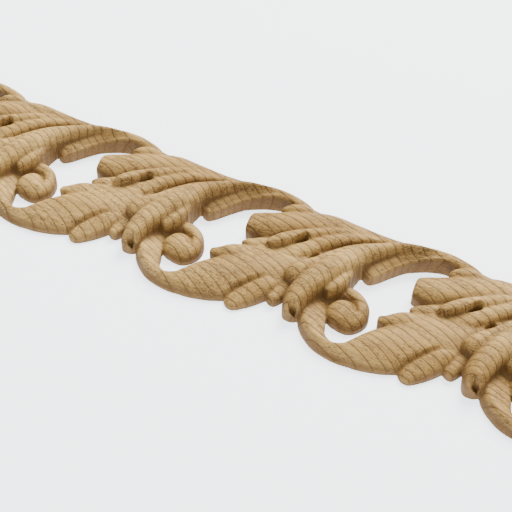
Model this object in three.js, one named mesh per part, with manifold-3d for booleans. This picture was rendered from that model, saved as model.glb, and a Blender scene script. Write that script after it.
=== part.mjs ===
// Braid moulding: a length of carved oak braid, one running row of acanthus leaves and scrolls.
// Millimetres. +X runs along the moulding, +Y across it towards the arched edge, +Z out of the wall.
// The back is flat at Z = 0, and the origin is the middle of the back.
// Each repeat is made of strands: tapering lobes that follow a middle line and have a rounded top.
import * as THREE from 'three';
import { mergeVertices } from 'three/addons/utils/BufferGeometryUtils.js';
import Module from 'manifold-3d';

const wasm = await Module();
wasm.setup();

// Driving sizes
const REPEAT = 60; // from one volute to the next
const REPEATS = 4; // how many repeats this length holds, cut square at both ends
const WIDTH = 52.7; // across the carving, from the belly of the leaf to the top of the arch
const THICKNESS = 11; // from the flat back to the crest of the highest frond
const EYE_HALF = 0.85; // half the width of the pierced eye beside the first finger
const SMALL_EYE_HALF = 0.75; // the same beside the second finger
const EYE_FLOOR = 3.6; // what is left under the eyes
const TIP_HOLE_RADIUS = 0.8; // the drilled hole in the end of the frond
const TIP_HOLE_DEPTH = 3;

// The carving is drawn at one unit to a repeat, and these are its own width and height in that drawing
const DRAWN_WIDTH = 0.877;
const DRAWN_MIDDLE = -0.0118;
const DRAWN_THICKNESS = 0.184;
const SAW_CUT = -0.24; // where the saw crosses the drawing, clear of the volute

// How finely the strands are faceted: the length of a step in the drawing, the turns at which a rounded
// end gets a section, and where the corners of a section stand between its edge, at 1, and its crest, at 0
const STEP = 0.105;
const TIP_ANGLES = [20, 50];
const BROAD = [1, 0.75, 0.4, 0];
const NARROW = [1, 0.62, 0];
const BURIED = [1, 0];

const BACK_STOCK = 2; // timber left on the back while it is carved, then sawn off flat
const CLEARANCE = 5; // how far a cutting box reaches past what it cuts

const oak = new THREE.MeshStandardMaterial({ color: 0xc9a877, roughness: 0.62, metalness: 0 });

// A place in the drawing as a place on the moulding, before the row of repeats is centred
function place(along, across, up) {
  return new THREE.Vector3(
    along * REPEAT,
    (across - DRAWN_MIDDLE) * WIDTH / DRAWN_WIDTH,
    up * THICKNESS / DRAWN_THICKNESS,
  );
}

// Every strand is a list of stations: along, across, half width, height of the crest, height of the
// left edge, height of the right edge, and how far the crest leans to the right, from -1 to 1.
// rounded is the share of its length over which its free end rounds off, fullness swells its top, and
// corners says how finely its sections are faceted.
const STRANDS = {
  // The stem of the scroll, which turns over on itself under a sharp ridge and runs out into the leaf
  stem: {
    rounded: 0,
    fullness: -0.6,
    corners: BROAD,
    stations: [
      [-0.5, 0.04, 0.05, 0.03, 0.028, 0.028, 0],
      [-0.53, -0.08, 0.065, 0.045, 0.03, 0.02, 0.5],
      [-0.538, -0.19, 0.073, 0.063, 0.044, 0.015, 0.5],
      [-0.52, -0.272, 0.073, 0.074, 0.048, 0.014, 0.5],
      [-0.488, -0.325, 0.066, 0.078, 0.052, 0.014, 0.42],
      [-0.451, -0.37, 0.05, 0.078, 0.056, 0.014, 0.25],
      [-0.406, -0.4, 0.04, 0.077, 0.06, 0.014, -0.1],
      [-0.35, -0.415, 0.035, 0.075, 0.062, 0.014, -0.6],
      [-0.289, -0.407, 0.048, 0.078, 0.062, 0.014, -0.65],
      [-0.219, -0.372, 0.07, 0.08, 0.058, 0.016, -0.5],
      [-0.144, -0.316, 0.09, 0.075, 0.05, 0.018, -0.35],
    ],
  },
  // The full body of the leaf
  body: {
    rounded: 0,
    fullness: 0.6,
    corners: BROAD,
    stations: [
      [-0.35, -0.415, 0.02, 0.05, 0.045, 0.014, -0.6],
      [-0.289, -0.407, 0.042, 0.074, 0.058, 0.014, -0.6],
      [-0.219, -0.372, 0.08, 0.088, 0.06, 0.016, -0.5],
      [-0.144, -0.316, 0.118, 0.097, 0.052, 0.018, -0.35],
      [-0.06, -0.246, 0.143, 0.102, 0.044, 0.022, -0.2],
      [0.03, -0.16, 0.165, 0.104, 0.046, 0.025, 0],
      [0.13, -0.07, 0.165, 0.102, 0.06, 0.035, 0],
      [0.24, 0.03, 0.12, 0.098, 0.06, 0.05, 0],
    ],
  },
  // The pointed tip on the upper edge of the leaf, and the smaller one above it
  upperTip: {
    rounded: 0.08,
    fullness: 0.6,
    corners: NARROW,
    stations: [
      [-0.213, -0.128, 0.021, 0.068, 0.06, 0.06, 0],
      [-0.165, -0.121, 0.033, 0.084, 0.066, 0.068, 0],
      [-0.09, -0.08, 0.053, 0.098, 0.064, 0.074, 0],
      [0, -0.03, 0.045, 0.084, 0.055, 0.06, 0],
    ],
  },
  smallTip: {
    rounded: 0.3,
    fullness: 0.6,
    corners: NARROW,
    stations: [
      [-0.095, 0.009, 0.015, 0.066, 0.058, 0.056, 0],
      [-0.055, 0.022, 0.033, 0.078, 0.053, 0.06, 0],
      [0.02, 0.055, 0.045, 0.09, 0.05, 0.06, 0],
      [0.14, 0.145, 0.03, 0.085, 0.05, 0.05, 0],
    ],
  },
  // The broad lobe that sets out over the gap and runs on along the arched edge
  broadLobe: {
    rounded: 0.03,
    fullness: 0.8,
    corners: BROAD,
    stations: [
      [-0.131, 0.154, 0.061, 0.106, 0.077, 0.055, 0],
      [-0.07, 0.161, 0.084, 0.118, 0.075, 0.045, 0],
      [0.02, 0.188, 0.096, 0.134, 0.075, 0.055, 0],
      [0.14, 0.25, 0.094, 0.144, 0.08, 0.085, 0],
      [0.285, 0.312, 0.082, 0.148, 0.085, 0.11, 0],
      [0.44, 0.329, 0.056, 0.147, 0.09, 0.115, 0],
      [0.6, 0.336, 0.039, 0.145, 0.09, 0.115, 0],
      [0.75, 0.356, 0.028, 0.138, 0.09, 0.11, 0],
      [0.88, 0.385, 0.015, 0.12, 0.08, 0.09, 0],
    ],
  },
  // The little curl where the arch of the last repeat runs in behind the broad lobe
  curl: {
    rounded: 0.3,
    fullness: 0.8,
    corners: NARROW,
    stations: [
      [0, 0.302, 0.026, 0.105, 0.095, 0.095, 0],
      [0.05, 0.325, 0.034, 0.13, 0.1, 0.11, 0],
      [0.12, 0.345, 0.03, 0.132, 0.1, 0.11, 0],
      [0.2, 0.35, 0.027, 0.122, 0.09, 0.1, 0],
      [0.28, 0.354, 0.02, 0.112, 0.08, 0.08, 0],
    ],
  },
  firstFinger: {
    rounded: 0.1,
    fullness: 0.9,
    corners: NARROW,
    stations: [
      [0.05, 0.026, 0.02, 0.12, 0.108, 0.108, 0],
      [0.094, 0.07, 0.036, 0.143, 0.11, 0.118, 0.2],
      [0.155, 0.125, 0.04, 0.153, 0.11, 0.122, 0.2],
      [0.24, 0.185, 0.038, 0.156, 0.11, 0.12, 0],
      [0.34, 0.252, 0.036, 0.153, 0.11, 0.12, 0],
      [0.46, 0.302, 0.028, 0.149, 0.11, 0.12, 0],
      [0.575, 0.33, 0.012, 0.135, 0.11, 0.12, 0],
    ],
  },
  // The rib between the two fingers, which rises out of the body of the leaf
  rib: {
    rounded: 0,
    fullness: 0.7,
    corners: NARROW,
    stations: [
      [0.06, -0.06, 0.05, 0.08, 0.06, 0.06, 0],
      [0.15, 0.02, 0.06, 0.1, 0.078, 0.078, 0],
      [0.245, 0.1, 0.056, 0.126, 0.1, 0.098, 0],
      [0.34, 0.18, 0.048, 0.147, 0.11, 0.11, 0],
      [0.45, 0.255, 0.04, 0.155, 0.12, 0.12, 0],
      [0.57, 0.31, 0.026, 0.147, 0.12, 0.12, 0],
      [0.67, 0.335, 0.012, 0.135, 0.12, 0.12, 0],
    ],
  },
  secondFinger: {
    rounded: 0.1,
    fullness: 0.9,
    corners: NARROW,
    stations: [
      [0.262, -0.138, 0.04, 0.115, 0.09, 0.09, 0],
      [0.286, -0.092, 0.054, 0.148, 0.1, 0.1, 0],
      [0.316, -0.034, 0.045, 0.152, 0.105, 0.115, 0],
      [0.358, 0.026, 0.034, 0.15, 0.105, 0.12, 0],
      [0.414, 0.1, 0.034, 0.154, 0.115, 0.125, 0],
      [0.49, 0.183, 0.034, 0.157, 0.12, 0.13, 0],
      [0.59, 0.26, 0.028, 0.152, 0.12, 0.13, 0],
      [0.69, 0.312, 0.014, 0.137, 0.12, 0.12, 0],
    ],
  },
  // The great rolled frond, the highest part, and the small lobe on its flank
  frond: {
    rounded: 0.07,
    fullness: 0.8,
    corners: BROAD,
    stations: [
      [0.381, -0.327, 0.042, 0.112, 0.03, 0.035, 0],
      [0.368, -0.27, 0.058, 0.14, 0.05, 0.08, 0.1],
      [0.366, -0.19, 0.074, 0.158, 0.06, 0.105, 0.1],
      [0.389, -0.11, 0.074, 0.172, 0.08, 0.12, 0],
      [0.428, -0.02, 0.078, 0.18, 0.1, 0.12, 0],
      [0.48, 0.07, 0.076, 0.184, 0.12, 0.13, 0],
      [0.544, 0.172, 0.054, 0.176, 0.13, 0.12, -0.3],
      [0.628, 0.26, 0.037, 0.166, 0.13, 0.12, -0.3],
      [0.728, 0.34, 0.024, 0.154, 0.12, 0.115, -0.3],
      [0.84, 0.386, 0.014, 0.142, 0.115, 0.11, 0],
      [0.93, 0.402, 0.008, 0.125, 0.11, 0.11, 0],
    ],
  },
  flankLobe: {
    rounded: 0.1,
    fullness: 0.9,
    corners: NARROW,
    stations: [
      [0.474, -0.126, 0.022, 0.105, 0.09, 0.085, 0],
      [0.505, -0.085, 0.036, 0.13, 0.1, 0.09, 0],
      [0.528, -0.03, 0.035, 0.14, 0.11, 0.1, 0],
      [0.54, 0.035, 0.029, 0.142, 0.12, 0.11, 0],
      [0.552, 0.1, 0.021, 0.14, 0.12, 0.11, 0],
      [0.572, 0.172, 0.012, 0.13, 0.12, 0.11, 0],
    ],
  },
  // The horn, from its blunt end up and over the arch to the next leaf
  arch: {
    rounded: 0.07,
    fullness: 0.3,
    corners: NARROW,
    stations: [
      [0.597, 0.11, 0.036, 0.07, 0.066, 0.05, -0.4],
      [0.632, 0.162, 0.046, 0.09, 0.086, 0.056, -0.8],
      [0.682, 0.233, 0.044, 0.1, 0.094, 0.062, -0.8],
      [0.742, 0.306, 0.042, 0.112, 0.104, 0.068, -0.8],
      [0.805, 0.352, 0.042, 0.122, 0.11, 0.078, -0.8],
      [0.872, 0.382, 0.036, 0.128, 0.11, 0.09, -0.6],
      [0.955, 0.398, 0.027, 0.127, 0.11, 0.1, -0.4],
      [1.04, 0.392, 0.028, 0.124, 0.105, 0.105, -0.2],
      [1.12, 0.37, 0.027, 0.122, 0.105, 0.1, 0],
      [1.2, 0.345, 0.014, 0.11, 0.09, 0.08, 0],
    ],
  },
  // The sharp lip along the inner edge of the horn, which leaves its top hollow
  hornLip: {
    rounded: 0.05,
    fullness: 0.4,
    corners: BURIED,
    stations: [
      [0.624, 0.104, 0.01, 0.062, 0.055, 0.055, 0.3],
      [0.66, 0.143, 0.012, 0.07, 0.06, 0.062, 0.3],
      [0.706, 0.212, 0.013, 0.078, 0.065, 0.07, 0.3],
      [0.762, 0.284, 0.013, 0.086, 0.07, 0.078, 0.3],
      [0.82, 0.326, 0.013, 0.098, 0.078, 0.088, 0.3],
      [0.882, 0.36, 0.013, 0.114, 0.09, 0.1, 0.3],
      [0.96, 0.382, 0.011, 0.12, 0.1, 0.1, 0.3],
      [1.04, 0.376, 0.01, 0.116, 0.1, 0.095, 0],
    ],
  },
  // The bed of the fan of fingers, which closes the valleys between them
  bed: {
    rounded: 0,
    fullness: 0.6,
    corners: BURIED,
    stations: [
      [0.1, -0.12, 0.09, 0.07, 0.05, 0.05, 0],
      [0.25, 0, 0.115, 0.09, 0.06, 0.06, 0],
      [0.38, 0.11, 0.115, 0.105, 0.08, 0.08, 0],
      [0.5, 0.205, 0.088, 0.112, 0.09, 0.09, 0],
      [0.62, 0.275, 0.06, 0.112, 0.09, 0.09, 0],
      [0.74, 0.325, 0.035, 0.105, 0.09, 0.09, 0],
    ],
  },
  // The lobe and the bud under the belly of the leaf
  lowerLobe: {
    rounded: 0.14,
    fullness: 1,
    corners: NARROW,
    stations: [
      [0.03, -0.394, 0.038, 0.028, 0.02, 0.016, 0],
      [0.066, -0.346, 0.056, 0.056, 0.035, 0.014, -0.6],
      [0.122, -0.28, 0.058, 0.078, 0.05, 0.018, -0.7],
      [0.175, -0.216, 0.048, 0.094, 0.07, 0.03, -0.6],
      [0.222, -0.14, 0.028, 0.072, 0.06, 0.05, 0],
    ],
  },
  bud: {
    rounded: 0.15,
    fullness: 0.9,
    corners: NARROW,
    stations: [
      [0.228, -0.277, 0.026, 0.05, 0.03, 0.03, 0],
      [0.243, -0.236, 0.038, 0.062, 0.036, 0.036, 0],
      [0.264, -0.175, 0.038, 0.07, 0.05, 0.045, 0],
      [0.28, -0.13, 0.036, 0.075, 0.055, 0.05, 0],
    ],
  },
  // The low web from which the stem and the volute both spring, under the frond
  web: {
    rounded: 0,
    fullness: 0.5,
    corners: BURIED,
    stations: [
      [-0.53, 0.05, 0.05, 0.054, 0.045, 0.045, 0],
      [-0.495, -0.04, 0.055, 0.054, 0.045, 0.045, 0],
      [-0.475, -0.11, 0.07, 0.051, 0.045, 0.045, 0],
      [-0.47, -0.19, 0.03, 0.043, 0.033, 0.033, 0],
    ],
  },
  // The outer turn of the volute: its rim is high outside and slopes in to the foot of the eye
  volute: {
    rounded: 0,
    fullness: 0,
    corners: NARROW,
    stations: [
      [-0.53, -0.034, 0.04, 0.058, 0.035, 0.043, -0.2],
      [-0.458, -0.05, 0.044, 0.075, 0.045, 0.044, -0.4],
      [-0.4015, -0.052, 0.046, 0.082, 0.047, 0.042, -0.5],
      [-0.3535, -0.074, 0.048, 0.084, 0.047, 0.042, -0.5],
      [-0.318, -0.117, 0.05, 0.082, 0.042, 0.045, -0.4],
      [-0.308, -0.172, 0.05, 0.075, 0.035, 0.05, -0.2],
      [-0.335, -0.222, 0.042, 0.062, 0.025, 0.04, 0],
      [-0.39, -0.225, 0.036, 0.045, 0.02, 0.03, 0],
    ],
  },
  // The tail of the volute, where its groove ends and the outer turn runs into the eye
  tail: {
    rounded: 0.2,
    fullness: 0.9,
    corners: BURIED,
    stations: [
      [-0.345, -0.14, 0.01, 0.078, 0.05, 0.05, 0],
      [-0.335, -0.18, 0.034, 0.086, 0.05, 0.05, 0],
      [-0.352, -0.222, 0.036, 0.066, 0.03, 0.03, 0],
      [-0.39, -0.238, 0.028, 0.04, 0.02, 0.02, 0],
    ],
  },
};

// The domed eye of the volute: its middle, its radius, and the heights of its foot and its top
const DOME = { along: -0.393, across: -0.169, radius: 0.091, foot: 0.03, top: 0.091 };

// The pierced eyes, from the narrow end to the wide one, and where the hole in the frond starts
const EYES = [
  { from: [0.182, 0.094], to: [0.236, 0.152], half: EYE_HALF },
  { from: [0.294, 0.046], to: [0.341, 0.087], half: SMALL_EYE_HALF },
];
const TIP_HOLE = { along: 0.387, across: -0.316, up: 0.07, turn: 15, tilt: -35 };

// A closed solid from a geometry whose corners are shared
function solid(geometry) {
  return new wasm.Manifold(new wasm.Mesh({
    numProp: 3,
    vertProperties: new Float32Array(geometry.attributes.position.array),
    triVerts: new Uint32Array(geometry.index.array),
  }));
}

// The same for one of three.js's own shapes, whose corners first have to be merged
function solidOfShape(geometry) {
  geometry.deleteAttribute('normal');
  geometry.deleteAttribute('uv');
  return solid(mergeVertices(geometry));
}

// A solid as a geometry again
function geometryOf(piece) {
  const { vertProperties, triVerts } = piece.getMesh();
  const geometry = new THREE.BufferGeometry();
  geometry.setAttribute('position', new THREE.Float32BufferAttribute(vertProperties, 3));
  geometry.setIndex(new THREE.Uint32BufferAttribute(triVerts, 1));
  return geometry;
}

// A closed solid through a row of sections, each a ring of as many corners
function loft(sections) {
  const ring = sections[0].length;
  const positions = sections.flat().flatMap((corner) => [corner.x, corner.y, corner.z]);
  const index = [];
  for (let s = 0; s + 1 < sections.length; s += 1) {
    for (let c = 0; c < ring; c += 1) {
      const next = (c + 1) % ring;
      const a = s * ring + c;
      const b = s * ring + next;
      const d = (s + 1) * ring + c;
      const e = (s + 1) * ring + next;
      index.push(a, d, b, b, d, e);
    }
  }
  const last = (sections.length - 1) * ring;
  for (let c = 1; c + 1 < ring; c += 1) {
    index.push(0, c, c + 1);
    index.push(last, last + c + 1, last + c);
  }
  const geometry = new THREE.BufferGeometry();
  geometry.setAttribute('position', new THREE.Float32BufferAttribute(positions, 3));
  geometry.setIndex(index);
  return solid(geometry);
}

// A smooth value between the stations of a strand, for one column of its list
function smooth(stations, column, share) {
  const reach = share * (stations.length - 1);
  const i = Math.min(Math.floor(reach), stations.length - 2);
  const value = (n) => stations[Math.min(Math.max(n, 0), stations.length - 1)][column];
  const t = reach - i;
  const leave = (value(i + 1) - value(i - 1)) / 2;
  const arrive = (value(i + 2) - value(i)) / 2;
  return (2 * value(i) - 2 * value(i + 1) + leave + arrive) * t ** 3
    + (3 * value(i + 1) - 3 * value(i) - 2 * leave - arrive) * t ** 2
    + leave * t + value(i);
}

// The shares of its length at which a strand gets a section: close together where its end rounds off
function sectionShares({ stations, rounded }) {
  let run = 0;
  for (let s = 0; s + 1 < stations.length; s += 1) {
    run += Math.hypot(stations[s + 1][0] - stations[s][0], stations[s + 1][1] - stations[s][1]);
  }
  const steps = Math.max(2, Math.round(run * (1 - rounded) / STEP));
  const shares = [];
  if (rounded > 0) {
    for (const angle of TIP_ANGLES) {
      shares.push(rounded * (1 - Math.cos(THREE.MathUtils.degToRad(angle))));
    }
  }
  for (let step = 0; step <= steps; step += 1) {
    shares.push(rounded + (1 - rounded) * step / steps);
  }
  return shares;
}

// One section of a strand: flat below, upright at its edges and rounded over its crest
function section(strand, share) {
  const { stations, rounded, fullness, corners: shares } = strand;
  const at = (column, where = share) => smooth(stations, column, where);
  const nudge = 1e-3;
  const before = Math.max(share - nudge, 0);
  const after = Math.min(share + nudge, 1);
  const heading = new THREE.Vector2(at(0, after) - at(0, before), at(1, after) - at(1, before)).normalize();
  const left = new THREE.Vector2(-heading.y, heading.x);
  const short = rounded > 0 ? Math.max(1 - share / rounded, 0) : 0;
  const full = Math.sqrt(1 - short * short);
  const half = at(2) * full;
  const crest = at(3);
  const lean = at(6);
  const corner = (across, up) => place(at(0) - left.x * across * half, at(1) - left.y * across * half, up);
  const rise = (edge, out) => edge + (crest - edge) * full * (1 - out * out) ** (1 - fullness / 2);
  const corners = [corner(-1, 0), corner(1, 0)];
  corners[0].z = -BACK_STOCK;
  corners[1].z = -BACK_STOCK;
  for (const out of shares) {
    corners.push(corner(lean + (1 - lean) * out, rise(at(5), out)));
  }
  for (const out of shares.slice(0, -1).reverse()) {
    corners.push(corner(lean - (1 + lean) * out, rise(at(4), out)));
  }
  return corners;
}

function strandSolid(strand) {
  return loft(sectionShares(strand).map((share) => section(strand, share)));
}

// The domed eye of the volute, a low round cap on an upright foot
function domeSolid() {
  const sides = 15;
  const rings = 3;
  const profile = [new THREE.Vector2(0, -BACK_STOCK), new THREE.Vector2(DOME.radius * REPEAT, -BACK_STOCK)];
  for (let r = 0; r <= rings; r += 1) {
    const angle = r / rings * Math.PI / 2;
    const up = DOME.foot + (DOME.top - DOME.foot) * Math.sin(angle);
    const radius = r === rings ? 0 : DOME.radius * REPEAT * Math.cos(angle);
    profile.push(new THREE.Vector2(radius, up * THICKNESS / DRAWN_THICKNESS));
  }
  const middle = place(DOME.along, DOME.across, 0);
  const dome = new THREE.LatheGeometry(profile, sides);
  dome.rotateX(Math.PI / 2);
  dome.translate(middle.x, middle.y, 0);
  return solidOfShape(dome);
}

// A pierced eye: a drop-shaped pocket, pointed where it starts and round where it ends
function eyeCutter({ from, to, half }) {
  const start = place(...from, 0);
  const end = place(...to, 0);
  const length = start.distanceTo(end);
  const drop = new THREE.Shape();
  drop.moveTo(0, 0);
  drop.lineTo(length - half, -half);
  drop.absarc(length - half, 0, half, -Math.PI / 2, Math.PI / 2);
  drop.closePath();
  const pocket = new THREE.ExtrudeGeometry(drop, {
    depth: THICKNESS + CLEARANCE,
    bevelEnabled: false,
    curveSegments: 3,
  });
  pocket.rotateZ(Math.atan2(end.y - start.y, end.x - start.x));
  pocket.translate(start.x, start.y, EYE_FLOOR);
  return solidOfShape(pocket);
}

// The hole drilled into the rounded end of the frond
function tipHoleCutter() {
  const drill = new THREE.CylinderGeometry(TIP_HOLE_RADIUS, TIP_HOLE_RADIUS, 2 * TIP_HOLE_DEPTH, 8);
  const mouth = place(TIP_HOLE.along, TIP_HOLE.across, TIP_HOLE.up);
  drill.rotateX(THREE.MathUtils.degToRad(TIP_HOLE.tilt));
  drill.rotateZ(THREE.MathUtils.degToRad(TIP_HOLE.turn));
  drill.translate(mouth.x, mouth.y, mouth.z);
  return solidOfShape(drill);
}

// One repeat of the carving, with its strands joined and its holes cut
function repeatSolid() {
  let repeat = domeSolid();
  for (const strand of Object.values(STRANDS)) {
    repeat = repeat.add(strandSolid(strand));
  }
  for (const eye of EYES) {
    repeat = repeat.subtract(eyeCutter(eye));
  }
  return repeat.subtract(tipHoleCutter());
}

// The row of repeats, sawn flat at the back and square at both ends
function row() {
  const repeat = geometryOf(repeatSolid());
  const length = REPEATS * REPEAT;
  const firstX = -length / 2 - SAW_CUT * REPEAT;
  let joined = null;
  for (let n = -1; n <= REPEATS; n += 1) {
    const copy = solid(repeat.clone().translate(firstX + n * REPEAT, 0, 0));
    joined = joined ? joined.add(copy) : copy;
  }
  const stock = new THREE.BoxGeometry(length, WIDTH + 2 * CLEARANCE, THICKNESS + CLEARANCE);
  stock.translate(0, 0, (THICKNESS + CLEARANCE) / 2);
  return joined.intersect(solidOfShape(stock));
}

const braid = new THREE.Mesh(geometryOf(row()), oak);
braid.name = 'braid_moulding';
braid.geometry.computeVertexNormals();

const moulding = new THREE.Group();
moulding.add(braid);

export default moulding;
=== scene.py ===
"""A length of carved oak braid moulding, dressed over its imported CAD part. Metres, in the part's own frame.

The carving is worked out as a height over a fine grid. One repeat is drawn from strands, tapering lobes with
a rounded top, and its highest surface is kept at each place. The soft edges that sanding leaves come from a
blur, the outline from where the blurred cover is one half, and the repeat is then laid out in a row.
"""

from __future__ import annotations

import logging
import math
from dataclasses import dataclass, field
from enum import IntEnum

import bpy
import numpy as np
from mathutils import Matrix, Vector
from mathutils.geometry import delaunay_2d_cdt

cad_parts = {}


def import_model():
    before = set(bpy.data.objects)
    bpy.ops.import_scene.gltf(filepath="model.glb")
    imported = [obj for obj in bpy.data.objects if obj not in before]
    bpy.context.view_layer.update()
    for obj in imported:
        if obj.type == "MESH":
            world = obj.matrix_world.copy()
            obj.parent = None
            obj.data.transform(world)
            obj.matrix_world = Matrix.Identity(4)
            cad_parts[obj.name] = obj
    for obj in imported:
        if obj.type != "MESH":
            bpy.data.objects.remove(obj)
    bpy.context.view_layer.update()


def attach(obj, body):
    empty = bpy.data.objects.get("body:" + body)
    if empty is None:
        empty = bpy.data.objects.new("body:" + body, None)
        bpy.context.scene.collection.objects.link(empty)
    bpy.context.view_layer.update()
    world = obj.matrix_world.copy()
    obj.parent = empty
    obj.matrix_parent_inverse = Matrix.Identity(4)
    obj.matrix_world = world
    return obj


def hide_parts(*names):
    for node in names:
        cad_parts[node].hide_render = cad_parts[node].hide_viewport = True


log = logging.getLogger("braid_moulding")

NODE = "braid_moulding"
BODY = "root"
MM = 0.001
OUTLINE = 0.5  # the share of cover at the outline
TINY = 1e-12  # keeps a division off nought


@dataclass(frozen=True)
class Sizes:
    """The driving sizes of the moulding, in metres, and how its drawing is laid over them.

    The carving is drawn at one unit to a repeat. drawn_width and drawn_thickness are its own width and height
    in that drawing, drawn_middle is what comes to the middle of the back, and saw_cut is where the saw
    crosses.
    """

    repeat: float = 60 * MM
    repeats: int = 4
    width: float = 52.7 * MM
    thickness: float = 11 * MM
    drawn_width: float = 0.877
    drawn_middle: float = -0.0118
    drawn_thickness: float = 0.184
    saw_cut: float = -0.24

    @property
    def length(self) -> float:
        """The length from one saw cut to the other."""
        return self.repeat * self.repeats

    def along(self, drawn: np.ndarray) -> np.ndarray:
        """X of a place in the drawing."""
        return (drawn - self.saw_cut) * self.repeat - self.length / 2

    def across(self, drawn: np.ndarray) -> np.ndarray:
        """Y of a place in the drawing."""
        return (drawn - self.drawn_middle) * self.width / self.drawn_width

    def up(self, drawn: np.ndarray) -> np.ndarray:
        """Z of a height in the drawing."""
        return drawn * self.thickness / self.drawn_thickness

    def drawn(self, length: float) -> float:
        """A real length along the moulding, in the drawing's units."""
        return length / self.repeat

    def drawn_up(self, height: float) -> float:
        """A real height in the drawing's units."""
        return height * self.drawn_thickness / self.thickness


def smooth(rows: np.ndarray, share: np.ndarray) -> np.ndarray:
    """Reads rows of values smoothly: a Catmull-Rom curve through each column.

    Args:
        rows: Rows of values at even steps.
        share: Where to read them, from 0 at the first row to 1 at the last.

    Returns:
        One row of values for each share.
    """
    last = len(rows) - 1
    reach = np.clip(share, 0, 1) * last
    index = np.minimum(reach.astype(int), last - 1)
    t = (reach - index)[:, None]
    before, start = rows[np.maximum(index - 1, 0)], rows[index]
    end, after = rows[index + 1], rows[np.minimum(index + 2, last)]
    leave, arrive = (end - before) / 2, (after - start) / 2
    cubic = 2 * start - 2 * end + leave + arrive
    square = 3 * end - 3 * start - 2 * leave - arrive
    return cubic * t**3 + square * t**2 + leave * t + start


@dataclass(frozen=True)
class Strand:
    """A tapering lobe that follows a middle line, upright at its edges and rounded over its crest.

    Each station, from the free end on, holds along, across, half width, and the heights of the crest, of the
    left edge and of the right edge, all in thousandths of a repeat as drawn, and how far the crest leans to
    the right, from -1 to 1. fullness swells the top, and rounded is the share of the length over which the
    free end rounds off.
    """

    stations: tuple[tuple[float, ...], ...]
    fullness: float
    rounded: float = 0

    def rows(self) -> np.ndarray:
        """The stations in the drawing's units, with the lean last as it is."""
        rows = np.array(self.stations, float)
        rows[:, :-1] /= 1000
        return rows

    def shares(self, step: float) -> np.ndarray:
        """Shares of the length for sections a step apart, and more of them where the free end is rounded."""
        least_sections = 4
        end_sections = 12
        rows = self.rows()
        run = np.hypot(*np.diff(rows[:, :2], axis=0).T).sum()
        even = np.linspace(0, 1, max(least_sections, round(run / step)) + 1)
        turn = np.linspace(0, math.pi / 2, end_sections + 1)
        return np.unique(np.concatenate([even, self.rounded * (1 - np.cos(turn))]))

    def full(self, share: np.ndarray) -> np.ndarray:
        """How much of its size the strand has: sqrt(1 - short^2).

        Short falls from 1 at the tip to 0 where the rounding ends.
        """
        short = np.clip(1 - share / max(self.rounded, TINY), 0, 1)
        return np.sqrt(np.maximum(1 - short**2, 0))

    def edges(self, share: np.ndarray, rows: np.ndarray) -> tuple[np.ndarray, np.ndarray]:
        """The left and right edge of each section, half a width to each side of the middle line."""
        heading = np.gradient(rows[:, :2], share, axis=0)
        heading /= np.linalg.norm(heading, axis=1, keepdims=True)
        left = np.stack([-heading[:, 1], heading[:, 0]], axis=1)
        half = rows[:, 2] * self.full(share)
        return rows[:, :2] + left * half[:, None], rows[:, :2] - left * half[:, None]

    def height(self, rows: np.ndarray, side: np.ndarray, full: np.ndarray) -> np.ndarray:
        """Height of the rounded top: edge + (crest - edge) * full * (1 - out^2)^(1 - fullness / 2).

        Args:
            rows: The station values at each place.
            side: Where each place lies across the strand, from -1 at its left edge to 1 at its right.
            full: How much of its size the strand has there, less than 1 only at its rounded end.

        Returns:
            The height, where out runs from 0 at the leaning crest to 1 at the nearer edge.
        """
        crest, left, right, lean = rows[..., 3], rows[..., 4], rows[..., 5], rows[..., 6]
        is_left = side < lean
        out = np.where(is_left, (lean - side) / (lean + 1), (side - lean) / (1 - lean))
        edge = np.where(is_left, left, right)
        return edge + (crest - edge) * full * np.maximum(1 - out**2, 0) ** (1 - self.fullness / 2)


@dataclass(frozen=True)
class Dome:
    """The domed eye of the volute, a quarter ellipse turned about its middle, in the drawing's units."""

    along: float = -0.393
    across: float = -0.169
    radius: float = 0.091
    foot: float = 0.03
    top: float = 0.091


@dataclass(frozen=True)
class Eye:
    """A pierced eye beside a finger: a drop, pointed where it starts and round where it ends."""

    start: tuple[float, float]
    end: tuple[float, float]
    half: float


@dataclass(frozen=True)
class Groove:
    """A line cut into the surface with a round gouge, through a few points of the drawing."""

    points: tuple[tuple[float, float], ...]
    width: float
    depth: float


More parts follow.
